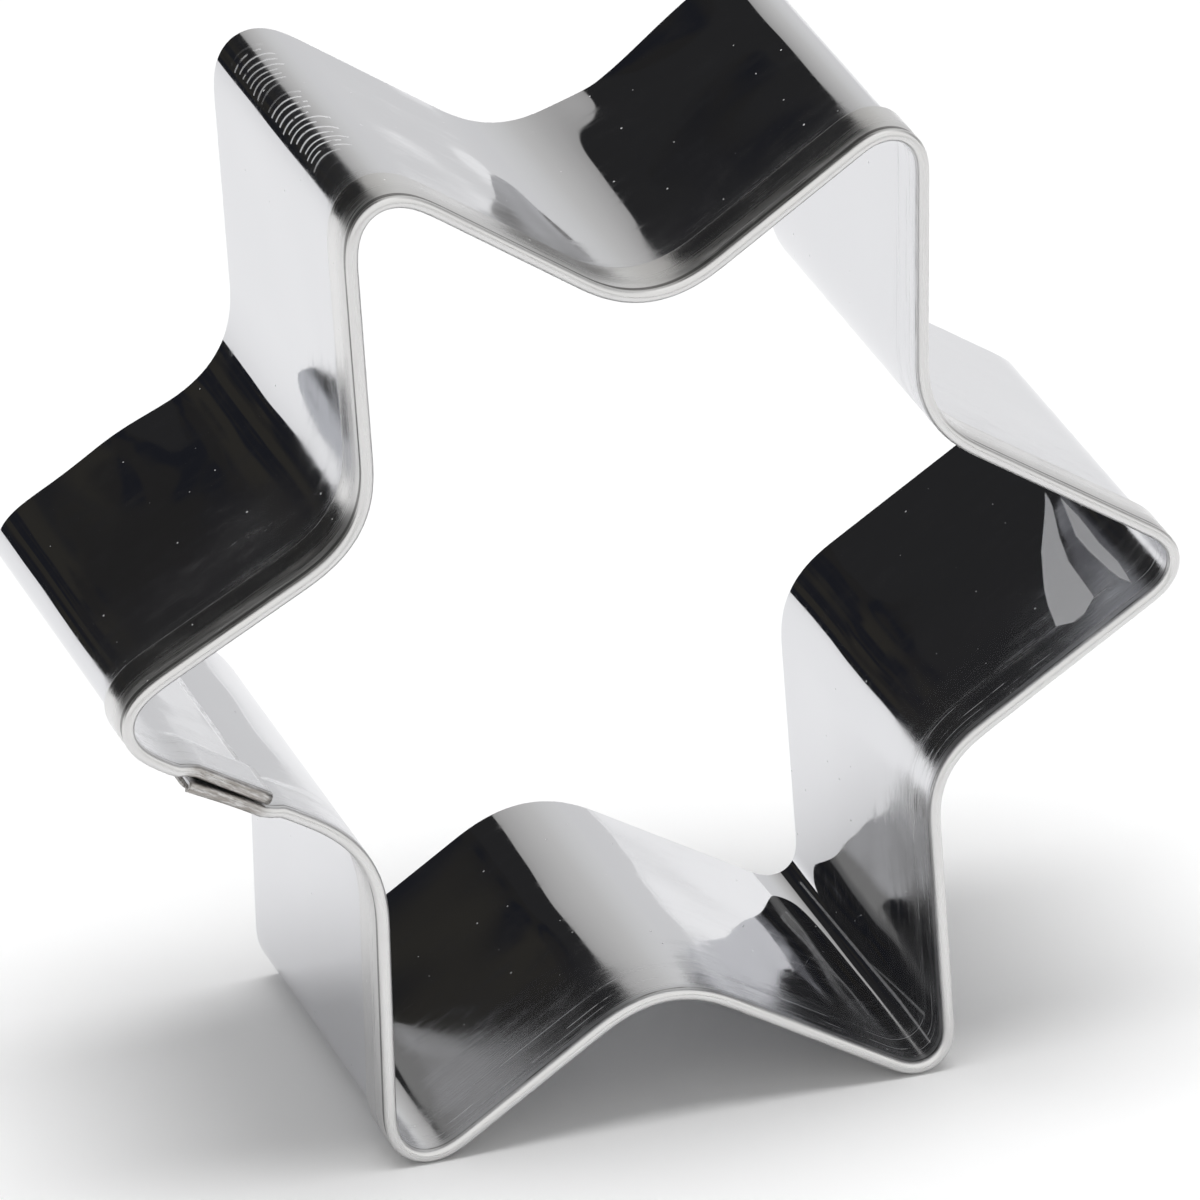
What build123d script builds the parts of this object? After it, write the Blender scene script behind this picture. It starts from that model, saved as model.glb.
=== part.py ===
from build123d import *
import math
import os

# Star cookie cutter: one strip of thin sheet, hemmed along its rim, bent into a
# six-pointed star and lapped on itself, with two spot welds inside the lap.
# It is drawn standing on its cutting edge and then stood on two of its points.

# Star outline, followed by the middle of the hem
point_reach = 32.0
valley_reach = 18.2
point_bend = 2.2
valley_bend = 6.0

# Strip
cutter_depth = 22.0
sheet = 0.30
hem_gap = 0.06
hem_width = 3.2

# Lap seam, on the lower flank of the left point
lap_length = 4.5
lap_place_share = 0.475
joggle_length = 1.2
hem_clearance = 0.08
sheet_clearance = 0.03
step_drop = 0.3
step_height = 1.0

# Spot welds
weld_radius = 1.0
weld_depth = 0.15
weld_drop_shares = [0.40, 0.80]

# Corners anticlockwise from the right point: how far each one leans out of its
# place, as a share of the angle between corners, and its reach and bend as
# shares of the sizes above. Points and valleys take turns.
corner_shares = [
    (-0.010, 0.948, 0.93),
    (0.165, 0.978, 1.01),
    (0.110, 1.005, 0.92),
    (0.019, 1.036, 0.97),
    (-0.042, 1.071, 1.09),
    (-0.032, 0.972, 0.98),
    (-0.031, 0.958, 1.06),
    (0.035, 0.955, 1.21),
    (0.134, 1.027, 1.06),
    (0.060, 1.069, 1.02),
    (-0.006, 1.049, 0.81),
    (-0.099, 1.000, 0.84),
]
left_point = 6

# Sizes that follow from the ones above
corner_angle = 2 * math.pi / len(corner_shares)
hem_half = sheet + hem_gap / 2
hem_shift = hem_half + hem_clearance / 2
wall_shift = (sheet + sheet_clearance) / 2
wall_middle = -(sheet + hem_gap) / 2
step_top = hem_width + step_drop
step_foot = step_top + step_height


def corner(index):
    """Where the two flanks beside a corner would meet, and the bend there."""
    lean, reach, bend = corner_shares[index % len(corner_shares)]
    is_valley = index % 2
    distance = reach * (valley_reach if is_valley else point_reach)
    angle = (index + lean) * corner_angle
    place = Vector(distance * math.cos(angle), distance * math.sin(angle), 0)
    return place, bend * (valley_bend if is_valley else point_bend)


def straight_run(index):
    """Start, direction and length of the straight flank after a corner."""
    before = corner(index - 1)[0]
    here, bend = corner(index)
    there, next_bend = corner(index + 1)
    beyond = corner(index + 2)[0]
    along = (there - here).normalized()
    half_here = math.radians(along.get_angle(before - here)) / 2
    half_there = math.radians((-along).get_angle(beyond - there)) / 2
    start = bend / math.tan(half_here)
    end = (there - here).length - next_bend / math.tan(half_there)
    return here + along * start, along, end - start


def standing_points():
    """The two points that lie lowest, the left one first."""
    points = range(0, len(corner_shares), 2)
    lowest = sorted(points, key=lambda index: corner(index)[0].Y)[:2]
    return sorted(lowest, key=lambda index: corner(index)[0].X)


def lean_of_stand():
    """Angle of the line that touches the two standing points from below."""
    ends = []
    for index in standing_points():
        place, bend = corner(index)
        half = math.radians((corner(index - 1)[0] - place).get_angle(corner(index + 1)[0] - place)) / 2
        middle = ((corner(index - 1)[0] - place).normalized() + (corner(index + 1)[0] - place).normalized())
        ends.append((place + middle.normalized() * (bend / math.sin(half)), bend))
    (first, first_bend), (second, second_bend) = ends
    span = second - first
    return math.atan2(span.Y, span.X) - math.asin((second_bend - first_bend) / span.length)


def section(place, along, hem_out=0.0, wall_out=0.0):
    """Section of the strip: wall, fold and flange, each pushed outward."""
    hem = [(hem_out + hem_half, hem_half), (hem_out + hem_half, hem_width)]
    hem += [(hem_out + hem_gap / 2, hem_width), (hem_out + hem_gap / 2, sheet)]
    wall = [(hem_out - hem_gap / 2, sheet), (hem_out - hem_gap / 2, step_top)]
    wall += [(wall_out - hem_gap / 2, step_foot), (wall_out - hem_gap / 2, cutter_depth)]
    wall += [(wall_out - hem_half, cutter_depth), (wall_out - hem_half, step_foot)]
    wall += [(hem_out - hem_half, step_top), (hem_out - hem_half, hem_half)]
    fold = ThreePointArc(wall[-1], (hem_out, 0), hem[0])
    face = make_face([fold, Polyline(*hem, *wall)])
    outward = Vector(along.Y, -along.X, 0)
    rim = Vector(place.X, place.Y, cutter_depth)
    return Plane(origin=rim, x_dir=outward, z_dir=along) * face


def star_band():
    """The strip round the star, from one side of the lap to the other."""
    start, along, run = straight_run(left_point)
    lap_middle = start + along * (run * lap_place_share)
    outer_end = lap_middle - along * (lap_length / 2)
    inner_end = lap_middle + along * (lap_length / 2)
    band_start = inner_end + along * joggle_length
    band_end = outer_end - along * joggle_length

    around = range(left_point + 1, left_point + 1 + len(corner_shares))
    rim_height = Vector(0, 0, cutter_depth)
    places = [band_start] + [corner(index)[0] for index in around] + [band_end]
    path = FilletPolyline(*[place + rim_height for place in places],
                          radius=[corner(index)[1] for index in around])
    band = sweep(section(band_start, along), path=path)

    outer_lap = extrude(section(outer_end, along, hem_shift, wall_shift), lap_length, dir=along)
    outer_joggle = loft([section(inner_end, along, hem_shift, wall_shift),
                         section(band_start, along)], ruled=True)
    inner_joggle = loft([section(band_end, along),
                         section(outer_end, along, -hem_shift, -wall_shift)], ruled=True)
    inner_lap = extrude(section(outer_end, along, -hem_shift, -wall_shift), lap_length, dir=along)
    return band + outer_joggle + outer_lap + inner_joggle + inner_lap, lap_middle, along


def spot_weld(lap_middle, along, drop_share):
    """A weld nugget, sunk into both sheets of the lap."""
    outward = Vector(along.Y, -along.X, 0)
    height = cutter_depth * (1 - drop_share)
    middle = lap_middle + outward * wall_middle + Vector(0, 0, height)
    length = 2 * weld_depth + sheet_clearance
    return Plane(origin=middle, z_dir=outward) * Cylinder(weld_radius, length)


band, lap_middle, lap_along = star_band()
welds = [spot_weld(lap_middle, lap_along, share) for share in weld_drop_shares]
for weld in welds:
    band = band - weld

# Stood on the two lower points, with the hemmed rim towards -Y
stand = Rot(X=90) * Rot(Z=-math.degrees(lean_of_stand()))
box = (stand * band).bounding_box()
to_origin = Pos(-(box.min.X + box.max.X) / 2, -(box.min.Y + box.max.Y) / 2, -box.min.Z)

nodes = {"star_band": band, "seam_weld_rim_side": welds[0], "seam_weld_edge_side": welds[1]}
os.makedirs("parts", exist_ok=True)
for name, solid in nodes.items():
    placed = to_origin * stand * solid
    export_step(placed, os.path.join("parts", name + ".step"))
    extent = placed.bounding_box()
    print(name, "volume %.3f" % placed.volume, "size", extent.size, "solids", len(placed.solids()))
print("origin moved by", to_origin.position, "lean", math.degrees(lean_of_stand()))
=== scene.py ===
import math

import bpy
import numpy as np
from mathutils import Matrix, Vector


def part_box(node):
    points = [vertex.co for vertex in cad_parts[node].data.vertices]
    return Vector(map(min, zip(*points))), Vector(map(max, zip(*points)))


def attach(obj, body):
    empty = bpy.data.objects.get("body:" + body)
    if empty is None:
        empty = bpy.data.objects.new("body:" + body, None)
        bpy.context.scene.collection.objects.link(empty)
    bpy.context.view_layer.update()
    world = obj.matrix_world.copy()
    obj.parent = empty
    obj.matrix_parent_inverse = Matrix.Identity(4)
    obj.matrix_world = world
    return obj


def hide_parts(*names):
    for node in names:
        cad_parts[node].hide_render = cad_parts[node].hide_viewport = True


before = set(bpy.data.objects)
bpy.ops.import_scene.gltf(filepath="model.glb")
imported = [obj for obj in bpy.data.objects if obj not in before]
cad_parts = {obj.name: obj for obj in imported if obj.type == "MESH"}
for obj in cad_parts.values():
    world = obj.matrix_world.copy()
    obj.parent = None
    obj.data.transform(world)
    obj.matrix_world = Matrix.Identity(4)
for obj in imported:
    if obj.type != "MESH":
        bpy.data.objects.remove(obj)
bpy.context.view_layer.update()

MM = 0.001

# Star outline in millimetres, followed by the middle of the hem
POINT_REACH = 32.0
VALLEY_REACH = 18.2
POINT_BEND = 2.2
VALLEY_BEND = 6.0

# Strip in millimetres
CUTTER_DEPTH = 22.0
SHEET = 0.30
HEM_GAP = 0.06
HEM_WIDTH = 3.2

# Lap seam in millimetres, on the lower flank of the left point
LAP_LENGTH = 4.5
LAP_PLACE_SHARE = 0.475
JOGGLE_LENGTH = 1.2
HEM_CLEARANCE = 0.08
SHEET_CLEARANCE = 0.03
STEP_DROP = 0.3
STEP_HEIGHT = 1.0

# How far the free end of the outer hem springs out, over what length, and how it eases
FLARE = 0.16
FLARE_LENGTH = 3.6
FLARE_POWER = 1.5

# Rounding of the cut edges in millimetres
EDGE_ROUND = 0.05
FLANGE_ROUND = 0.09

# Shallow crease beside the fold, in the flange's face
CREASE = 0.11
CREASE_EDGE = 0.12
CREASE_WIDTH = 0.9

# Corners anticlockwise from the right point: how far each one leans out of its
# place, as a share of the angle between corners, and its reach and bend as
# shares of the sizes above. Points and valleys take turns.
CORNER_SHARES = [
    (-0.010, 0.948, 0.93),
    (0.165, 0.978, 1.01),
    (0.110, 1.005, 0.92),
    (0.019, 1.036, 0.97),
    (-0.042, 1.071, 1.09),
    (-0.032, 0.972, 0.98),
    (-0.031, 0.958, 1.06),
    (0.035, 0.955, 1.21),
    (0.134, 1.027, 1.06),
    (0.060, 1.069, 1.02),
    (-0.006, 1.049, 0.81),
    (-0.099, 1.000, 0.84),
]
CORNERS = len(CORNER_SHARES)
RIGHT_POINT = 0
UPPER_VALLEY = 3
UPPER_LEFT_POINT = 4
UPPER_LEFT_VALLEY = 5
LEFT_POINT = 6
LOWER_VALLEY = 9
LOWER_RIGHT_POINT = 10

# How tightly each bend is drawn in at its middle: 0 is a plain arc, 1 eases in
# like a sine, 2 is tightest
PINCH = [1.0, 0.6, 0.7, 0.6, 1.45, 0.6, 1.7, 0.6, 1.0, 0.6, 1.0, 0.6]

# Dents and bows of the wall: corner, millimetres past it, drop from the rim, reach
# back, on and across, and height outwards
DENTS = [
    (UPPER_VALLEY, -5.2, 22.0, 4.5, 1.9, 5.5, -0.55),
    (UPPER_VALLEY, -2.6, 5.5, 2.0, 1.2, 3.0, 0.10),
    (UPPER_LEFT_VALLEY, 7.0, 22.0, 2.6, 2.6, 8.0, 0.26),
    (LOWER_VALLEY, -2.6, 10.0, 2.5, 1.4, 4.5, -0.10),
    (LEFT_POINT, 9.9, 12.0, 3.2, 2.0, 40.0, 0.20),
]

# Sizes that follow from the ones above
HEM_HALF = SHEET + HEM_GAP / 2
HEM_SHIFT = HEM_HALF + HEM_CLEARANCE / 2
WALL_SHIFT = (SHEET + SHEET_CLEARANCE) / 2
STEP_TOP = HEM_WIDTH + STEP_DROP
STEP_FOOT = STEP_TOP + STEP_HEIGHT

# How the sheet is divided along the strip, in millimetres and degrees, and the
# stretches that are divided more finely: corner, and from where to where past it
LONGEST_STEP = 0.5
TURN_PER_STEP = 3.5
BEND_SAMPLES = 160
FINE_STEP = 0.02
FINE_STATION = 0.2
FINE_STRETCHES = [(UPPER_VALLEY, -7.0, -1.0)]

# How it is divided across: rows down the wall, the narrow row that ends each flat,
# steps round the fold and the edges, and rows of the flange (first, last, apart)
ROW_STEP = 0.4
SUPPORT = 0.02
FOLD_STEPS = 24
EDGE_STEPS = 4
FLANGE_ROWS = [
    (HEM_HALF + 0.04, HEM_HALF + 0.2, 0.03),
    (HEM_HALF + 0.25, 1.3, 0.1),
    (1.4, HEM_WIDTH - 2 * FLANGE_ROUND, 0.2),
]


def smooth(x):
    """Eases from nought to one as x goes from nought to one."""
    x = np.clip(x, 0.0, 1.0)
    return x * x * (3.0 - 2.0 * x)


def turned(points, angle):
    """Points in a plane, turned anticlockwise about its origin."""
    cosine, sine = math.cos(angle), math.sin(angle)
    return points @ np.array([[cosine, sine], [-sine, cosine]])


def corner(index):
    """Where the two flanks beside a corner would meet, and the bend there."""
    lean, reach, bend = CORNER_SHARES[index % CORNERS]
    is_valley = index % 2
    distance = reach * (VALLEY_REACH if is_valley else POINT_REACH)
    angle = (index + lean) * 2 * math.pi / CORNERS
    place = distance * np.array([math.cos(angle), math.sin(angle)])
    return place, bend * (VALLEY_BEND if is_valley else POINT_BEND)


def pinched(share, pinch):
    """How much of a bend's turn is done at each share of its length, from -1 to 1."""
    once = np.sin(share * math.pi / 2)
    twice = np.sin(once * math.pi / 2)
    if pinch <= 1:
        return share * (1 - pinch) + once * pinch
    return once * (2 - pinch) + twice * (pinch - 1)


def bend_curve(index):
    """The strip's line round a corner: its points and its direction at each."""
    place, radius = corner(index)
    before = place - corner(index - 1)[0]
    after = corner(index + 1)[0] - place
    start = math.atan2(before[1], before[0])
    turn = math.atan2(before[0] * after[1] - before[1] * after[0], before @ after)
    share = np.linspace(-1.0, 1.0, 2 * BEND_SAMPLES + 1)
    local = turn / 2 * pinched(share, PINCH[index % CORNERS])
    middle = (local[1:] + local[:-1]) / 2
    steps = np.stack([np.cos(middle), np.sin(middle)], 1)
    line = np.vstack([np.zeros(2), np.cumsum(steps, 0)])
    line = line - line[BEND_SAMPLES]
    reach, sag = line[-1][0], abs(line[-1][1])
    recess = reach * math.tan(abs(turn) / 2) - sag
    scale = radius * (1 / math.cos(turn / 2) - 1) / recess
    tilt = start + turn / 2
    line = turned(line * scale, tilt)
    tangent_length = scale * reach / math.cos(turn / 2)
    line = line - line[0] + place - before / np.linalg.norm(before) * tangent_length
    return line, local + tilt


def lap_flank():
    """Ends of the straight part of the lap's flank between two plain arcs, which place the lap."""
    here, there = corner(LEFT_POINT), corner(LEFT_POINT + 1)
    before, beyond = corner(LEFT_POINT - 1)[0], corner(LEFT_POINT + 2)[0]
    along = (there[0] - here[0]) / np.linalg.norm(there[0] - here[0])
    ends = []
    for (place, bend), other, way in ((here, before, along), (there, beyond, -along)):
        side = (other - place) / np.linalg.norm(other - place)
        half = math.acos(float(side @ way)) / 2
        ends.append(place + way * bend / math.tan(half))
    return ends


def closed_line():
    """The whole outline from the lap's outer end round to itself: length, points, direction."""
    bends = [bend_curve(index) for index in range(LEFT_POINT, LEFT_POINT + CORNERS + 1)]
    run = bends[1][0][0] - bends[0][0][-1]
    flank_start, flank_end = lap_flank()
    lap_middle = flank_start + (flank_end - flank_start) * LAP_PLACE_SHARE
    seam = lap_middle - run / np.linalg.norm(run) * LAP_LENGTH / 2
    points, turns = [seam[None]], [bends[0][1][-1:]]
    for line, direction in bends[1:]:
        points.append(line)
        turns.append(direction)
    points.append(seam[None])
    turns.append(turns[-1][-1:])
    points = np.vstack(points)
    turns = np.unwrap(np.concatenate(turns))
    length = np.concatenate([[0.0], np.cumsum(np.hypot(*np.diff(points, axis=0).T))])
    return length, points, turns


class Line:
    """The outline, read at any distance along it, also past its own start."""

    def __init__(self):
        self.length, self.points, self.turns = closed_line()
        self.round = self.length[-1]
        self.corners = []
        for index in range(CORNERS):
            middle = bend_curve(index)[0][BEND_SAMPLES]
            self.corners.append(self.length[np.argmin(np.hypot(*(self.points - middle).T))])

    def read(self, along):
        """The points and the direction at distances along the outline."""
        laps, rest = np.divmod(along, self.round)
        x = np.interp(rest, self.length, self.points[:, 0])
        y = np.interp(rest, self.length, self.points[:, 1])
        turn = np.interp(rest, self.length, self.turns) + laps * 2 * math.pi
        return np.stack([x, y], 1), turn

    def stations(self):
        """Distances along the strip, close together where it bends."""
        fine = np.arange(0.0, self.round + LAP_LENGTH, FINE_STEP)
        turn = self.read(fine)[1]
        curve = np.abs(np.gradient(turn, fine))
        step = np.minimum(LONGEST_STEP, math.radians(TURN_PER_STEP) / np.maximum(curve, 1e-6))
        for index, start, end in FINE_STRETCHES:
            past = self.past(fine, index)
            step = np.where((past > start) & (past < end), np.minimum(step, FINE_STATION), step)
        count = np.concatenate([[0.0], np.cumsum((1 / step[1:] + 1 / step[:-1]) / 2 * FINE_STEP)])
        total = int(count[-1]) + 1
        return np.interp(np.linspace(0, count[-1], total + 1), count, fine)

    def past(self, along, index):
        """How far a place along the strip is past a corner, the short way round."""
        half = self.round / 2
        return (along - self.corners[index] + half) % self.round - half


def crease(drop):
    """How far the flange's face sinks beside the fold."""
    past = drop - HEM_HALF
    return CREASE * smooth(past / CREASE_EDGE) * (1 - smooth(past / CREASE_WIDTH))


def profile():
    """Section of the strip, as its skin and its core. Each place on them has its
    distance out from the line, its drop, its unfolded drop and its side."""
    below_edge = CUTTER_DEPTH - EDGE_ROUND
    coarse = np.arange(below_edge - ROW_STEP, STEP_FOOT, -ROW_STEP)
    fine = np.arange(STEP_FOOT, HEM_HALF + 4 * SUPPORT, -ROW_STEP / 4)
    rows = [below_edge, below_edge - SUPPORT, *coarse, *fine, HEM_HALF + SUPPORT, HEM_HALF]
    back = [HEM_HALF, HEM_HALF + SUPPORT]
    for start, end, step in FLANGE_ROWS:
        back += list(np.arange(start, end, step))
    back += [HEM_WIDTH - FLANGE_ROUND - SUPPORT, HEM_WIDTH - FLANGE_ROUND]
    fold = np.radians(np.linspace(180, 0, FOLD_STEPS + 1))[1:-1]
    edge = np.radians(np.linspace(0, 90, EDGE_STEPS + 1))[:-1]
    halves = []
    for side, radius, inward in ((0, HEM_HALF, 1), (1, HEM_GAP / 2, -1)):
        half = []
        for t in edge:
            out = inward * EDGE_ROUND * (1 - math.sin(t)) - radius
            half.append((out, CUTTER_DEPTH - EDGE_ROUND * (1 - math.cos(t)), CUTTER_DEPTH, side))
        half += [(-radius, drop, drop, side) for drop in rows]
        for t in fold:
            out = radius * math.cos(t)
            half.append((out, HEM_HALF - radius * math.sin(t), -out, side))
        half += [(radius - (1 - side) * crease(drop), drop, -drop, side) for drop in back]
        for t in edge[::-1]:
            out = radius - inward * FLANGE_ROUND * (1 - math.sin(t))
            half.append((out, HEM_WIDTH - FLANGE_ROUND * (1 - math.cos(t)), -HEM_WIDTH, side))
        halves.append(np.array(half))
    return halves


def lap_shift(along, whole):
    """How far the hem and the wall stand off the line where the ends lap."""
    outer = 1 - smooth((along - LAP_LENGTH) / JOGGLE_LENGTH)
    inner = smooth((along - whole + JOGGLE_LENGTH) / JOGGLE_LENGTH)
    flare = FLARE * np.clip(1 - along / FLARE_LENGTH, 0, 1) ** FLARE_POWER
    return (outer - inner) * HEM_SHIFT + flare, (outer - inner) * WALL_SHIFT


def stand_angle():
    """Lean of the line that touches the two standing points from below."""
    bends = [bend_curve(index)[0] for index in range(CORNERS)]
    lowest = sorted(range(0, CORNERS, 2), key=lambda index: bends[index][:, 1].min())[:2]
    left, right = sorted(lowest, key=lambda index: bends[index][:, 0].mean())
    feet = [bends[index][np.argmin(bends[index][:, 1])] for index in (left, right)]
    return math.atan2(feet[1][1] - feet[0][1], feet[1][0] - feet[0][0])


def dents(line, along, drop):
    """How far the wall is pushed outwards by its dents."""
    height = np.zeros(np.broadcast(along, drop).shape)
    for index, offset, middle, back, on, width, rise in DENTS:
        past = line.past(along, index) - offset
        far = (past / np.where(past < 0, back, on)) ** 2 + ((drop - middle) / width) ** 2
        height += rise * np.exp(-far)
    return height * smooth((drop - HEM_WIDTH) / STEP_HEIGHT)


def haze(line, along, drop, side):
    """How dull the mirror is at each place, from nought to one."""
    total = np.zeros(np.broadcast(along, drop).shape)
    for face, index, offset, middle, reach, width, strength in HAZE:
        far = ((line.past(along, index) - offset) / reach) ** 2 + ((drop - middle) / width) ** 2
        total += strength * np.exp(-far) * (side == face)
    return total


def bent_strip(line, along, loop):
    """The section carried round the star: its points in millimetres, in the standing pose."""
    place, turn = line.read(along)
    out = np.stack([np.sin(turn), -np.cos(turn)], 1)
    hem_out, wall_out = lap_shift(along, line.round)
    ease = smooth((loop[:, 1] - STEP_TOP) / STEP_HEIGHT)
    shift = hem_out[:, None] * (1 - ease) + wall_out[:, None] * ease
    offset = loop[:, 0][None] + shift + dents(line, along[:, None], loop[:, 1][None])
    flat = turned(place[:, None, :] + out[:, None, :] * offset[..., None], -stand_angle())
    depth = np.broadcast_to(loop[:, 1][None], flat.shape[:2])
    return np.stack([flat[..., 0], depth, flat[..., 1]], -1)


def strip_faces(stations, around, skin_rows):
    """Faces between neighbouring sections, and across the section at both ends."""
    i, j = np.meshgrid(np.arange(stations - 1), np.arange(around), indexing="ij")
    k = (j + 1) % around
    faces = np.stack([i * around + j, i * around + k, (i + 1) * around + k, (i + 1) * around + j], -1)
    a = np.arange(skin_rows - 1)
    last = np.stack([a, a + 1, around - 2 - a, around - 1 - a], -1)
    first = last[:, ::-1]
    return np.vstack([faces.reshape(-1, 4), first, last + (stations - 1) * around])


def strip_mesh(line):
    """The strip as a mesh that lies in the room of its solid, with its own coordinates."""
    along = line.stations()
    skin, core = profile()
    loop = np.vstack([skin, core[::-1]])
    verts = bent_strip(line, along, loop)
    size = verts.shape[:2]
    faces = strip_faces(*size, len(skin))
    verts = verts.reshape(-1, 3) * MM
    low, high = (np.array(end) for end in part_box("star_band"))
    mesh_low, mesh_high = verts.min(0), verts.max(0)
    fit = np.minimum(1.0, (high - low) / (mesh_high - mesh_low))
    verts = (verts - (mesh_low + mesh_high) / 2) * fit + (low + high) / 2
    mesh = bpy.data.meshes.new("star_strip")
    mesh.from_pydata(verts.tolist(), [], faces.tolist())
    rows = (along[:, None], loop[:, 2][None], loop[:, 3][None])
    strip = np.stack([np.broadcast_to(row, size) for row in rows], -1).astype(np.float32)
    dull = haze(line, *rows).astype(np.float32)
    strip_data = mesh.attributes.new("strip", "FLOAT_VECTOR", "POINT").data
    strip_data.foreach_set("vector", strip.reshape(-1))
    haze_data = mesh.attributes.new("haze", "FLOAT", "POINT").data
    haze_data.foreach_set("value", dull.reshape(-1))
    mesh.validate()
    mesh.update()
    mesh.shade_smooth()
    return mesh


# Noise patterns on the strip: stretch along it, down it and between its sides, then
# scale, detail and roughness
PATTERNS = {
    "streaks": ((0.10, 7.0, 5.0), 1.6, 4.0, 0.65),
    "clouds": ((1.0, 1.0, 1.0), 0.30, 3.0, 0.6),
    # Mottle of the painted shade on the hem at the lap
    "lap_shade_mottle": ((0.5, 3.0, 1.0), 1.6, 3.0, 0.65),
    "wiping": ((0.35, 1.1, 7.0), 1.0, 5.0, 0.6),
    "grain": ((1.0, 1.0, 1.0), 3.0, 3.0, 0.6),
    "waves": ((0.14, 0.17, 3.0), 1.0, 0.0, 0.5),
    "wander": ((1.0, 0.0, 0.0), 0.12, 2.0, 0.5),
    "shake": ((1.0, 1.0, 1.0), 0.5, 0.0, 0.5),
    "breaks": ((1.0, 1.0, 1.0), 1.7, 2.0, 0.5),
}

# What the patterns do: which one, between which of its values, and what those become
EFFECTS = {
    # Share of the painted shade on the hem at the lap
    "lap_shade_share": ("lap_shade_mottle", 0.35, 0.60, 0.25, 1.0),
    # Shares of the painted shade lines in the crease and inside the rim
    "crease_shade_share": ("streaks", 0.35, 0.60, 0.60, 0.95),
    "inner_shade_share": ("clouds", 0.42, 0.62, 0.30, 0.90),
    "streaked_rough": ("streaks", 0.25, 0.75, 0.65, 1.35),
    "clouded_rough": ("clouds", 0.45, 0.75, 0.0, 0.030),
    "wiped_rough": ("wiping", 0.45, 0.72, 0.0, 0.07),
    "hazy_rough": ("grain", 0.32, 0.70, 0.27, 0.37),
    "scraped_share": ("grain", 0.30, 0.70, 0.78, 1.0),
    "unbroken": ("breaks", 0.30, 0.42, 0.0, 1.0),
}


class Graph:
    """Adds shader nodes to a material, with numbers set on the sockets they feed."""

    def __init__(self, holder):
        holder.use_nodes = True
        self.tree = holder.node_tree
        self.tree.nodes.clear()
        self.patterns = {}

    def node(self, kind, inputs=(), **settings):
        made = self.tree.nodes.new(kind)
        for name, value in settings.items():
            setattr(made, name, value)
        for key, value in dict(inputs).items():
            self.feed(made.inputs[key], value)
        return made

    def feed(self, socket, value):
        if isinstance(value, bpy.types.NodeSocket):
            self.tree.links.new(value, socket)
        else:
            socket.default_value = value

    def math(self, operation, *values):
        return self.node("ShaderNodeMath", enumerate(values), operation=operation).outputs[0]

    def times(self, first, *rest):
        """The product of its values."""
        for value in rest:
            first = self.math("MULTIPLY", first, value)
        return first

    def plus(self, first, *rest):
        """The sum of its values."""
        for value in rest:
            first = self.math("ADD", first, value)
        return first

    def most(self, first, *rest):
        """The largest of its values."""
        for value in rest:
            first = self.math("MAXIMUM", first, value)
        return first

    def ramp(self, value, start, end, low=0.0, high=1.0):
        """Goes smoothly from low to high as value goes from start to end."""
        made = self.node("ShaderNodeMapRange", {"Value": value, "From Min": start, "From Max": end,
                                                "To Min": low, "To Max": high})
        made.interpolation_type = "SMOOTHSTEP"
        return made.outputs[0]

    def band(self, value, start, end, soft):
        """One between start and end, and nought outside, with soft ends."""
        return self.times(self.ramp(value, start - soft, start + soft),
                          self.ramp(value, end + soft, end - soft))

    def table(self, value, stops):
        """Reads a tone or a number off a row of places and what is there."""
        start, end = stops[0][0], stops[-1][0]
        place = self.node("ShaderNodeMapRange", {"Value": value, "From Min": start, "From Max": end})
        made = self.node("ShaderNodeValToRGB", {0: place.outputs[0]})
        row = made.color_ramp.elements
        row.remove(row[-1])
        for number, (at, tone) in enumerate(stops):
            share = (at - start) / (end - start)
            spot = row.new(share) if number else row[0]
            spot.position = share
            spot.color = (*tone, 1) if isinstance(tone, tuple) else (tone, tone, tone, 1)
        return made.outputs[0]

    def blend(self, share, first, second):
        made = self.node("ShaderNodeMix", data_type="RGBA")
        self.feed(made.inputs[0], share)
        self.feed(made.inputs[6], first)
        self.feed(made.inputs[7], second)
        return made.outputs[2]

    def noise(self, vector, scale, detail=2.0, rough=0.5):
        made = self.node("ShaderNodeTexNoise", {"Vector": vector, "Scale": scale, "Detail": detail,
                                                "Roughness": rough})
        return made.outputs["Fac"]

    def scaled(self, vector, sizes):
        return self.node("ShaderNodeVectorMath", {0: vector, 1: sizes}, operation="MULTIPLY").outputs[0]

    def pattern(self, strip, name):
        """One of the noise patterns on the strip, made once in each material."""
        if name not in self.patterns:
            stretch, scale, detail, rough = PATTERNS[name]
            self.patterns[name] = self.noise(self.scaled(strip, stretch), scale, detail, rough)
        return self.patterns[name]

    def effect(self, strip, name):
        """What a noise pattern does at each place of the strip."""
        pattern, *values = EFFECTS[name]
        return self.ramp(self.pattern(strip, pattern), *values)

    def shiny(self, colour, metal, rough, bump):
        """The shader of both metals."""
        made = self.node("ShaderNodeBsdfPrincipled", {"Base Color": colour, "Metallic": metal,
                                                      "Roughness": rough, "Normal": bump.outputs[0]})
        return made.outputs[0]

    def finish(self, socket):
        is_world = isinstance(self.tree.id_data, bpy.types.World)
        kind = "ShaderNodeOutputWorld" if is_world else "ShaderNodeOutputMaterial"
        self.feed(self.node(kind).inputs[0], socket)


# Colours of the sheet: its mirror faces, its worked hem, the painted shade on the hem at the lap
# and the painted shade lines beside the fold
MIRROR = (0.775, 0.778, 0.790, 1)
HEM = (0.765, 0.760, 0.748, 1)
LAP_SHADE = (0.36, 0.335, 0.31, 1)
PAINTED_SHADE = (0.15, 0.145, 0.14, 1)

# Unfolded drops from the rim: where the worked hem starts and is full, the painted shade lines
# in the crease and inside the rim, and the hem's cut edge (start, end, softness)
WORKED = (0.5, 0.2)
CREASE_SHADE_LINE = (-0.76, -0.56, 0.04)
INNER_SHADE_LINE = (0.36, 0.46, 0.04)
HEM_EDGE = (-HEM_WIDTH - 0.3, -HEM_WIDTH + 0.10, 0.03)
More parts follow.
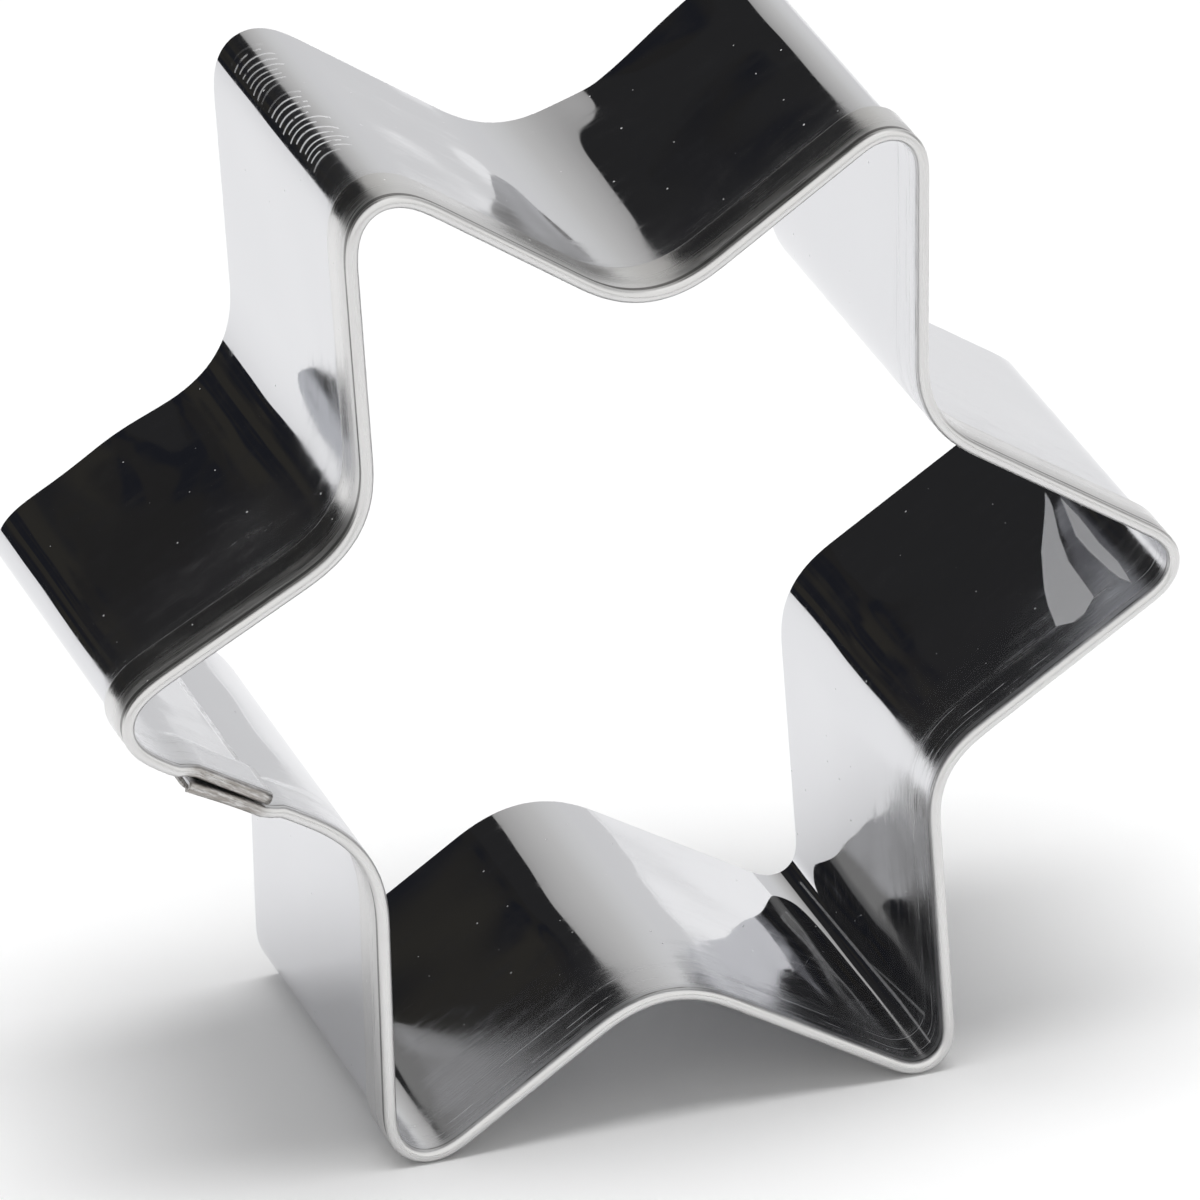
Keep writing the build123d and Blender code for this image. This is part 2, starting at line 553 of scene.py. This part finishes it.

# Where the painted shade on the hem fades in past the outer lap, and before the end of the inner one
LAP_SHADE_OUTER = (LAP_LENGTH + 0.6, LAP_LENGTH - 0.9)
LAP_SHADE_INNER = (-0.9, -0.1)

# Roughness against the unfolded drop from the rim, over the hem and down the wall,
# and where one gives way to the other
HEM_ROUGH = [
    (-3.20, 0.24), (-3.05, 0.22), (-2.85, 0.17), (-2.45, 0.15), (-1.90, 0.18), (-1.65, 0.28), (-1.25, 0.32),
    (-1.00, 0.35), (-0.80, 0.37), (-0.60, 0.41), (-0.42, 0.44), (-0.28, 0.34), (0.00, 0.28), (0.30, 0.36),
]
WALL_ROUGH = [
    (0.28, 0.40), (0.50, 0.38), (0.65, 0.34), (0.85, 0.22), (1.05, 0.15), (1.30, 0.20), (1.60, 0.16),
    (2.40, 0.14), (2.75, 0.20), (3.15, 0.19), (3.60, 0.15), (5.50, 0.10), (8.00, 0.06), (12.00, 0.035),
]
WALL_START = 0.28

# Duller stretch of the outer wall beside the hem: start, end and softness, and how much
OUTER_STRETCH = (3.1, 4.4, 0.3)
OUTER_ROUGH = 0.05

# Roughness of worn patches, of marks and of the hem's cut edge, and how little of a
# metal the marks look
WORN_ROUGH = 0.36
MARK_ROUGH = 0.5
HEM_EDGE_ROUGH = 0.22
MARK_DULL = 0.55

# Height of the gentle waves in the rolled sheet and of its streaks, in metres, and the
# streaks' strength and the roughnesses between which they fade in
WAVES = 0.0001
STREAK_HEIGHT = 0.00003
STREAK_STRENGTH = 0.2
STREAK_FADE = (0.08, 0.3)

# Hazy places where the mirror is dulled: side of the sheet, corner, millimetres past
# it, drop from the rim, reach along and across, and strength
HAZE = [
    (1, UPPER_LEFT_POINT, 0.0, 12.0, 1.2, 14.0, 0.40),
    (1, UPPER_LEFT_VALLEY, 3.8, 7.6, 2.4, 3.2, 0.42),
    (1, UPPER_LEFT_VALLEY, -0.8, 8.6, 1.2, 2.0, 0.30),
    (1, UPPER_LEFT_VALLEY, 8.5, 7.0, 3.5, 2.4, 0.25),
    (1, UPPER_VALLEY, -6.0, 8.0, 1.6, 5.0, 0.12),
    (0, LOWER_VALLEY, -9.0, 8.0, 3.0, 4.0, 0.15),
    (0, RIGHT_POINT, -8.0, 5.0, 2.0, 3.0, 0.15),
]

# Worn patches inside the right point and light streaks in the fold of the lower
# right one: corner, strength, and at each drop the millimetres past the corner
# between which it lies
WORN = [
    (RIGHT_POINT, 1.0, [
        (2.3, -6.3, -5.6), (3.0, -7.15, -4.6), (5.0, -6.75, -4.5), (6.2, -6.4, -4.45), (7.0, -6.1, -4.4),
        (9.2, -5.2, -3.95), (11.8, -3.75, -3.2), (12.6, -3.35, -3.05), (13.4, -3.0, -3.0)]),
    (RIGHT_POINT, 1.0, [
        (1.9, -2.7, -2.65), (2.9, -3.0, -2.55), (4.2, -3.15, -2.45), (6.6, -3.3, -2.56), (8.4, -3.3, -2.5),
        (9.6, -3.05, -2.47), (12.0, -2.6, -2.55)]),
    (LOWER_RIGHT_POINT, 0.45, [(1.2, 0.48, 0.66), (5.7, 0.54, 0.78), (12.8, 0.38, 0.60), (20.1, 0.24, 0.40)]),
    (LOWER_RIGHT_POINT, 0.30, [(2.8, 1.42, 1.70), (6.5, 1.05, 1.22), (10.1, 0.60, 0.72)]),
]

# A worn patch is read off a table that holds places from -10 to 10 mm past a corner
# as 0 to 1. Its side edges and its two ends are this soft.
WORN_SCALE = 0.05
WORN_MIDDLE = 0.5
WORN_EDGE = (-0.002, 0.004)
WORN_END = 0.15

# Bright lines that the folding tool left inside the rim: drop and strength, then
# their half width, softness and wander, how far apart their patterns are taken, the
# scale and detail of those, and between which values a line fades in
TOOL_LINES = [(0.95, 0.35), (1.30, 0.7), (1.78, 1.0), (2.86, 0.9), (3.12, 0.5)]
TOOL_HALF_WIDTH = 0.02
TOOL_SOFT = 0.03
TOOL_WANDER = 0.5
TOOL_APART = 7.3
TOOL_PATTERN = (0.35, 3.0)
TOOL_FADE = (0.42, 0.56)

# Small bright specks: cells in a millimetre, smallest and largest reach in cells, the
# share of the cells that have none, and the millimetres between the cells of the
# sheet's two sides
SPECK_CELLS = 0.55
SPECK_REACH = (0.006, 0.032)
SPECK_RARITY = 0.84
SIDES_APART = 60.0

# Crescent scratches across the upper left tip: distance between them, the middle and
# sag of their curve and their shake, how much of the distance a scratch takes, how far
# its lot moves each end from where it lies at most or at least, and the drops between
# which the scratches are found, with softness and strength
SCRATCH_PITCH = 0.6
SCRATCH_MIDDLE = 0.35
SCRATCH_SAG = 0.2
SCRATCH_SHAKE = 0.6
SCRATCH_WIDTH = (0.38, 0.62, 0.10)
SCRATCH_START = (-1.0, -0.55)
SCRATCH_END = (-0.3, 1.25)
SCRATCH_ROWS = [((7.2, 14.2, 0.6), 1.0), ((15.6, 20.0, 0.5), 0.7)]


def bright_sheet(line):
    """Bright rolled sheet, mirror-like down its wall and duller over its worked hem."""
    material = bpy.data.materials.new("bright_sheet")
    graph = Graph(material)
    strip = graph.node("ShaderNodeAttribute", attribute_name="strip").outputs["Vector"]
    dull = graph.node("ShaderNodeAttribute", attribute_name="haze").outputs["Fac"]
    along, drop, side = graph.node("ShaderNodeSeparateXYZ", {0: strip}).outputs[:3]
    inside = graph.math("LESS_THAN", side, 0.5)
    worn = worn_patches(graph, line, along, drop, inside)
    marks = graph.most(specks(graph, along, drop, side), tip_scratches(graph, line, along, drop, strip),
                       tool_lines(graph, strip, drop, inside))
    colour = sheet_colour(graph, line, strip, along, drop, inside)
    rough = sheet_rough(graph, strip, drop, side, dull, worn, marks)
    scraped = graph.times(worn, graph.effect(strip, "scraped_share"))
    metal = graph.math("SUBTRACT", 1.0, graph.most(graph.times(marks, MARK_DULL), scraped))
    waves = graph.node("ShaderNodeBump", {"Height": graph.pattern(strip, "waves"), "Strength": 1.0,
                                          "Distance": WAVES}, invert=True)
    lift = graph.times(graph.pattern(strip, "streaks"), graph.ramp(rough, *STREAK_FADE))
    bump = graph.node("ShaderNodeBump", {"Height": lift, "Strength": STREAK_STRENGTH,
                                         "Distance": STREAK_HEIGHT, "Normal": waves.outputs[0]},
                      invert=True)
    graph.finish(graph.shiny(colour, metal, rough, bump))
    return material


def sheet_colour(graph, line, strip, along, drop, inside):
    """Mirror, worked hem, painted shade on the hem at the lap, and painted shade lines beside the fold."""
    worked = graph.ramp(drop, *WORKED)
    colour = graph.blend(worked, MIRROR, HEM)
    inner_start, inner_full = (line.round + end for end in LAP_SHADE_INNER)
    lapped = graph.most(graph.ramp(along, *LAP_SHADE_OUTER), graph.ramp(along, inner_start, inner_full))
    # Painted shade: the hem is darkened at the lap, where the two layers overlap
    shaded_lap = graph.times(lapped, worked, graph.effect(strip, "lap_shade_share"))
    colour = graph.blend(shaded_lap, colour, LAP_SHADE)
    # Painted shade: dark lines in the crease beside the fold and inside the rim
    crease_shade = graph.times(graph.band(drop, *CREASE_SHADE_LINE), graph.effect(strip, "crease_shade_share"))
    inner_shade = graph.times(graph.band(drop, *INNER_SHADE_LINE), graph.effect(strip, "inner_shade_share"))
    shade_lines = graph.times(graph.most(crease_shade, inner_shade), inside)
    return graph.blend(shade_lines, colour, PAINTED_SHADE)


def sheet_rough(graph, strip, drop, side, dull, worn, marks):
    """Roughness of the sheet with its streaks, clouds, haze, wear and marks."""
    is_hem = graph.math("LESS_THAN", drop, WALL_START)
    rough = graph.blend(is_hem, graph.table(drop, WALL_ROUGH), graph.table(drop, HEM_ROUGH))
    rough = graph.plus(rough, graph.times(graph.band(drop, *OUTER_STRETCH), side, OUTER_ROUGH))
    rough = graph.times(rough, graph.effect(strip, "streaked_rough"))
    rough = graph.plus(rough, graph.effect(strip, "clouded_rough"), graph.effect(strip, "wiped_rough"),
                       graph.times(dull, graph.effect(strip, "hazy_rough")))
    edge = graph.times(graph.band(drop, *HEM_EDGE), HEM_EDGE_ROUGH)
    return graph.most(rough, graph.times(worn, WORN_ROUGH), edge, graph.times(marks, MARK_ROUGH))


def worn_patches(graph, line, along, drop, inside):
    """How worn the inside of the sheet is, in the patches and streaks."""
    total = 0.0
    for index, strength, rows in WORN:
        past = graph.math("SUBTRACT", along, line.corners[index])
        place = graph.math("MULTIPLY_ADD", past, WORN_SCALE, WORN_MIDDLE)
        start, end = (graph.table(drop, [(row[0], WORN_MIDDLE + WORN_SCALE * row[column]) for row in rows])
                      for column in (1, 2))
        share = graph.times(graph.ramp(graph.math("SUBTRACT", place, start), *WORN_EDGE),
                            graph.ramp(graph.math("SUBTRACT", end, place), *WORN_EDGE),
                            graph.band(drop, rows[0][0], rows[-1][0], WORN_END))
        total = graph.most(total, graph.times(share, strength))
    return graph.times(total, inside)


def tool_lines(graph, strip, drop, inside):
    """Fine broken lines along the inside of the rim."""
    length = graph.scaled(strip, (1.0, 0.0, 0.0))
    wander = graph.math("MULTIPLY_ADD", graph.pattern(strip, "wander"), TOOL_WANDER, -TOOL_WANDER / 2)
    place = graph.plus(drop, wander)
    total = 0.0
    for number, (middle, strength) in enumerate(TOOL_LINES):
        shifted = graph.node("ShaderNodeVectorMath", {0: length, 1: (0.0, TOOL_APART * number, 0.0)},
                             operation="ADD")
        worn = graph.ramp(graph.noise(shifted.outputs[0], *TOOL_PATTERN), *TOOL_FADE, 0.0, strength)
        line = graph.band(place, middle - TOOL_HALF_WIDTH, middle + TOOL_HALF_WIDTH, TOOL_SOFT)
        total = graph.most(total, graph.times(line, worn))
    return graph.times(total, inside)


def specks(graph, along, drop, side):
    """Small bright specks, one in a few cells of the sheet."""
    apart = graph.math("MULTIPLY_ADD", side, SIDES_APART, drop)
    flat = graph.node("ShaderNodeCombineXYZ", {0: along, 1: apart}).outputs[0]
    cells = graph.node("ShaderNodeTexVoronoi", {"Vector": flat, "Scale": SPECK_CELLS},
                       voronoi_dimensions="2D")
    lot = graph.node("ShaderNodeSeparateColor", {0: cells.outputs["Color"]}).outputs
    size = graph.ramp(lot[1], 0.0, 1.0, *SPECK_REACH)
    near = graph.math("LESS_THAN", cells.outputs["Distance"], size)
    return graph.times(near, graph.math("GREATER_THAN", lot[0], SPECK_RARITY))


def tip_scratches(graph, line, along, drop, strip):
    """The row of crescent scratches across the upper left tip."""
    past = graph.math("SUBTRACT", along, line.corners[UPPER_LEFT_POINT])
    aside = graph.math("SUBTRACT", past, SCRATCH_MIDDLE)
    sag = graph.times(aside, aside, SCRATCH_SAG)
    shake = graph.times(graph.pattern(strip, "shake"), SCRATCH_SHAKE)
    turn = graph.math("DIVIDE", graph.plus(drop, sag, shake), SCRATCH_PITCH)
    lot = graph.node("ShaderNodeTexWhiteNoise", {"W": graph.math("FLOOR", turn)}, noise_dimensions="1D")
    thin = graph.band(graph.math("FRACT", turn), *SCRATCH_WIDTH)
    start = graph.math("MULTIPLY_ADD", lot.outputs["Value"], *SCRATCH_START)
    end = graph.math("MULTIPLY_ADD", lot.outputs["Value"], *SCRATCH_END)
    across = graph.times(graph.math("GREATER_THAN", past, start), graph.math("LESS_THAN", past, end))
    rows = graph.plus(*[graph.times(graph.band(drop, *row), strength) for row, strength in SCRATCH_ROWS])
    return graph.times(thin, graph.effect(strip, "unbroken"), across, rows)


# Weld metal: grains in a metre with their detail and roughness, its darkest and
# lightest colours, between which grain values its roughness goes and from what to
# what, and the strength and height of its grains
WELD_GRAINS = (6000.0, 4.0, 0.7)
WELD_DARK = (0.42, 0.42, 0.43, 1)
WELD_LIGHT = (0.62, 0.62, 0.63, 1)
WELD_ROUGH = (0.3, 0.7, 0.35, 0.6)
WELD_STRENGTH = 0.4
WELD_HEIGHT = 0.00003


def weld_metal():
    """Matt grey metal of a spot weld."""
    material = bpy.data.materials.new("weld_metal")
    graph = Graph(material)
    place = graph.node("ShaderNodeTexCoord").outputs["Object"]
    grains = graph.noise(place, *WELD_GRAINS)
    colour = graph.blend(grains, WELD_DARK, WELD_LIGHT)
    rough = graph.ramp(grains, *WELD_ROUGH)
    bump = graph.node("ShaderNodeBump", {"Height": grains, "Strength": WELD_STRENGTH,
                                         "Distance": WELD_HEIGHT})
    graph.finish(graph.shiny(colour, 1.0, rough, bump))
    return material


# Floor: its reach, how far off it turns plain white, and its tones as lit, and as the
# metal shows it at once and by way of a second reflection. Studio sizes are in metres.
FLOOR_REACH = 3.0
FLOOR_FADE = (0.10, 0.35)
WHITE = (1, 1, 1, 1)
FLOOR_TONE = (0.97, 0.97, 0.97, 1)
FLOOR_ONCE = (0.88, 0.88, 0.89, 1)
FLOOR_TWICE = (0.70, 0.70, 0.72, 1)

# Upright cards: left, right, how far behind the cutter, bottom and top
DARK_CARD = (-1.2, -0.085, 0.28, 0.0, 1.2)
GREY_CARD = (0.10, 1.2, 0.30, 0.006, 0.10)
FRONT_CARD = (-1.5, 1.5, -1.2, 0.0, 0.12)
GREY_TONE = (0.70, 0.70, 0.71, 1)
FRONT_TONE = (0.03, 0.03, 0.03, 1)

# Dark card: its blue, plain and warm tones, the noise (scale, detail) and the stretch
# of its values that goes from one to the next, and where the warm tone starts and is full
DARK_TONES = [(0.0115, 0.0125, 0.0165, 1), (0.0180, 0.0175, 0.0175, 1), (0.0260, 0.0245, 0.0215, 1)]
PLAIN_PATCHES = ((45.0, 1.0), (0.44, 0.56))
WARM_PATCHES = ((26.0, 0.5), (0.46, 0.58))
WARM_START = (-0.10, -0.13)

# Low pale stretch of the dark card, which only second reflections show: how far left
# it changes, by how much it is lower there, its share at each height, and its tones
PALE_CHANGE = (-0.172, -0.185)
PALE_LOWER = 0.013
PALE_SHARE = [(0.069, 1.0), (0.074, 0.25), (0.090, 0.0)]
PALE_TONES = [(0.12, 0.12, 0.13, 1), (0.62, 0.63, 0.66, 1)]

# Tones of the room behind the cutter from left to right, as the metal shows them at
# once and by way of a second reflection
ROOM = [
    (-0.090, (0.020, 0.020, 0.021)), (-0.072, (0.020, 0.020, 0.021)), (-0.066, (0.37, 0.365, 0.36)),
    (0.00, (0.44, 0.435, 0.43)), (0.10, (0.50, 0.495, 0.49)), (0.19, (0.55, 0.545, 0.54)),
    (0.28, (0.59, 0.585, 0.58)), (0.40, (0.66, 0.66, 0.66)), (0.52, (0.71, 0.71, 0.715)),
    (0.60, (0.75, 0.75, 0.76)),
]
ROOM_TWICE = [
    (-0.090, (0.020, 0.020, 0.021)), (-0.066, (0.10, 0.10, 0.10)), (0.10, (0.16, 0.158, 0.155)),
    (0.20, (0.24, 0.238, 0.232)), (0.325, (0.24, 0.236, 0.232)), (0.348, (0.43, 0.43, 0.435)),
    (0.42, (0.50, 0.50, 0.51)), (0.60, (0.62, 0.62, 0.63)),
]

# The rest of the room: the tone in front, where it goes over to the back, and the
# wall to the right: its stretch from front to back and its softness, where it starts
# and is full to the right, where its tone rises, and its tones
ROOM_FRONT = (0.98, 0.98, 0.98, 1)
ROOM_BACK_START = (0.20, 0.45)
SIDE_WALL_DEPTH = (-0.15, 0.5, 0.1)
SIDE_WALL_START = (0.35, 0.55)
SIDE_WALL_RISE = (0.25, 0.90)
SIDE_WALL_TONES = [(0.30, 0.30, 0.30, 1), (0.66, 0.66, 0.67, 1)]

# Light on the object: strength of the world, and the lamp's height, size and power.
# The metal shows a dimmer card in the lamp's place: its half size and its tone.
WORLD_LIGHT = 0.48
LAMP_HEIGHT = 0.6
LAMP_SIZE = (0.5, 0.3)
LAMP_POWER = 2.48
LAMP_CARD_HALF = (0.22, 0.13)
LAMP_CARD_TONE = (1.2, 1.2, 1.2, 1)


def stage_plane(name, corners):
    """A four-cornered plane of the studio."""
    mesh = bpy.data.meshes.new(name)
    mesh.from_pydata([Vector(c) for c in corners], [], [(0, 1, 2, 3)])
    mesh.update()
    made = bpy.data.objects.new(name, mesh)
    bpy.context.scene.collection.objects.link(made)
    return made


def level(reach, across, height):
    """Corners of a level rectangle round the middle."""
    signs = ((-1, -1), (1, -1), (1, 1), (-1, 1))
    return [(x * reach, y * across, height) for x, y in signs]


def upright(left, right, back, bottom, top):
    """Corners of an upright rectangle that faces the cutter."""
    return [(left, back, bottom), (right, back, bottom), (right, back, top), (left, back, top)]


def twice_reflected(graph):
    """One for what the metal shows by way of a second reflection."""
    depth = graph.node("ShaderNodeLightPath").outputs["Glossy Depth"]
    return graph.math("GREATER_THAN", depth, 1.5)


def floor():
    """A matt white floor, whose far part shows as plain white."""
    made = stage_plane("floor", level(FLOOR_REACH, FLOOR_REACH, 0.0))
    material = bpy.data.materials.new("floor")
    graph = Graph(material)
    place = graph.node("ShaderNodeNewGeometry").outputs["Position"]
    far = graph.node("ShaderNodeVectorMath", {0: place}, operation="LENGTH").outputs["Value"]
    path = graph.node("ShaderNodeLightPath")
    glossy = path.outputs["Is Glossy Ray"]
    seen = graph.most(path.outputs["Is Camera Ray"], glossy)
    share = graph.times(graph.ramp(far, *FLOOR_FADE), seen)
    mirrored = graph.blend(twice_reflected(graph), FLOOR_ONCE, FLOOR_TWICE)
    matt = graph.node("ShaderNodeBsdfDiffuse", {"Color": graph.blend(glossy, FLOOR_TONE, mirrored)})
    glow = graph.node("ShaderNodeEmission", {"Color": graph.blend(glossy, WHITE, mirrored)})
    mix = graph.node("ShaderNodeMixShader", {0: share, 1: matt.outputs[0], 2: glow.outputs[0]})
    graph.finish(mix.outputs[0])
    made.data.materials.append(material)


def card(name, corners, colour):
    """A card that only the metal sees. Its colour is a tone, or is made by a function."""
    made = stage_plane(name, corners)
    material = bpy.data.materials.new(name)
    graph = Graph(material)
    tone = colour(graph) if callable(colour) else colour
    graph.finish(graph.node("ShaderNodeEmission", {"Color": tone}).outputs[0])
    made.data.materials.append(material)
    made.visible_camera = False
    made.visible_diffuse = False
    made.visible_transmission = False
    made.visible_shadow = False


def dark_colour(graph):
    """The dark side of the room behind the cutter, with dim patches in it."""
    place = graph.node("ShaderNodeNewGeometry").outputs["Position"]
    x, y, z = graph.node("ShaderNodeSeparateXYZ", {0: place}).outputs[:3]
    blue, plain, warm = DARK_TONES
    (size, values), (warm_size, warm_values) = PLAIN_PATCHES, WARM_PATCHES
    tone = graph.blend(graph.ramp(graph.noise(place, *size), *values), blue, plain)
    warmth = graph.times(graph.ramp(graph.noise(place, *warm_size), *warm_values), graph.ramp(x, *WARM_START))
    tone = graph.blend(warmth, tone, warm)
    height = graph.plus(z, graph.ramp(x, *PALE_CHANGE, 0.0, PALE_LOWER))
    pale = graph.blend(graph.ramp(x, *PALE_CHANGE), *PALE_TONES)
    return graph.blend(graph.times(graph.table(height, PALE_SHARE), twice_reflected(graph)), tone, pale)


def studio_world():
    """White for the camera, a lit room for the metal, and dimmer light for the floor."""
    world = bpy.data.worlds.new("studio")
    bpy.context.scene.world = world
    graph = Graph(world)
    way = graph.node("ShaderNodeTexCoord").outputs["Generated"]
    x, y, z = graph.node("ShaderNodeSeparateXYZ", {0: way}).outputs[:3]
    path = graph.node("ShaderNodeLightPath")
    glossy = path.outputs["Is Glossy Ray"]
    back = graph.blend(twice_reflected(graph), graph.table(x, ROOM), graph.table(x, ROOM_TWICE))
    room = graph.blend(graph.ramp(y, *ROOM_BACK_START), ROOM_FRONT, back)
    beside = graph.times(graph.band(y, *SIDE_WALL_DEPTH), graph.ramp(x, *SIDE_WALL_START))
    room = graph.blend(beside, room, graph.blend(graph.ramp(z, *SIDE_WALL_RISE), *SIDE_WALL_TONES))
    seen = graph.most(path.outputs["Is Camera Ray"], glossy)
    strength = graph.ramp(seen, 0.0, 1.0, WORLD_LIGHT, 1.0)
    colour = graph.blend(glossy, WHITE, room)
    graph.finish(graph.node("ShaderNodeBackground", {"Color": colour, "Strength": strength}).outputs[0])


def overhead_lamp():
    """A wide soft lamp over the cutter. The metal shows a dimmer card in its place."""
    card("lamp_card", level(*LAMP_CARD_HALF, LAMP_HEIGHT), LAMP_CARD_TONE)
    lamp = bpy.data.objects.new("overhead", bpy.data.lights.new("overhead", "AREA"))
    bpy.context.scene.collection.objects.link(lamp)
    lamp.data.shape = "ELLIPSE"
    lamp.data.size, lamp.data.size_y = LAMP_SIZE
    lamp.data.energy = LAMP_POWER
    lamp.location = (0.0, 0.0, LAMP_HEIGHT)
    lamp.visible_glossy = False


# Camera in degrees, metres and millimetres, and how far the star's middle lies beside
# and under the middle of its view
CAMERA_AZIMUTH = -20.03
CAMERA_ELEVATION = 27.62
CAMERA_DISTANCE = 0.7235
CAMERA_LENS = 419.3
SENSOR = 36.0
CLIP_END = 20.0
STAR_CENTRE = Vector((-0.000156, 0.0, 0.027912))
ASIDE = 0.000883
BELOW = 0.002256


def add_camera():
    """The camera at the photograph's viewing angle."""
    azimuth, elevation = math.radians(CAMERA_AZIMUTH), math.radians(CAMERA_ELEVATION)
    back = Vector((math.sin(azimuth) * math.cos(elevation),
                   -math.cos(azimuth) * math.cos(elevation), math.sin(elevation)))
    right = Vector((math.cos(azimuth), math.sin(azimuth), 0.0))
    up = back.cross(right)
    camera = bpy.data.objects.new("camera", bpy.data.cameras.new("camera"))
    bpy.context.scene.collection.objects.link(camera)
    place = STAR_CENTRE + back * CAMERA_DISTANCE + right * ASIDE - up * BELOW
    camera.matrix_world = Matrix.Translation(place) @ Matrix((right, up, back)).transposed().to_4x4()
    camera.data.lens = CAMERA_LENS
    camera.data.sensor_width = SENSOR
    camera.data.clip_end = CLIP_END
    bpy.context.scene.camera = camera


outline = Line()
band = bpy.data.objects.new("star_strip", strip_mesh(outline))
bpy.context.scene.collection.objects.link(band)
band.data.materials.append(bright_sheet(outline))
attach(band, "root")
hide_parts("star_band")

nugget_paint = weld_metal()
for name in ("seam_weld_rim_side", "seam_weld_edge_side"):
    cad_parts[name].data.materials.clear()
    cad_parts[name].data.materials.append(nugget_paint)

floor()
card("dark_card", upright(*DARK_CARD), dark_colour)
card("grey_card", upright(*GREY_CARD), GREY_TONE)
card("front_card", upright(*FRONT_CARD), FRONT_TONE)
studio_world()
overhead_lamp()
add_camera()

bpy.context.scene.view_settings.view_transform = "Standard"
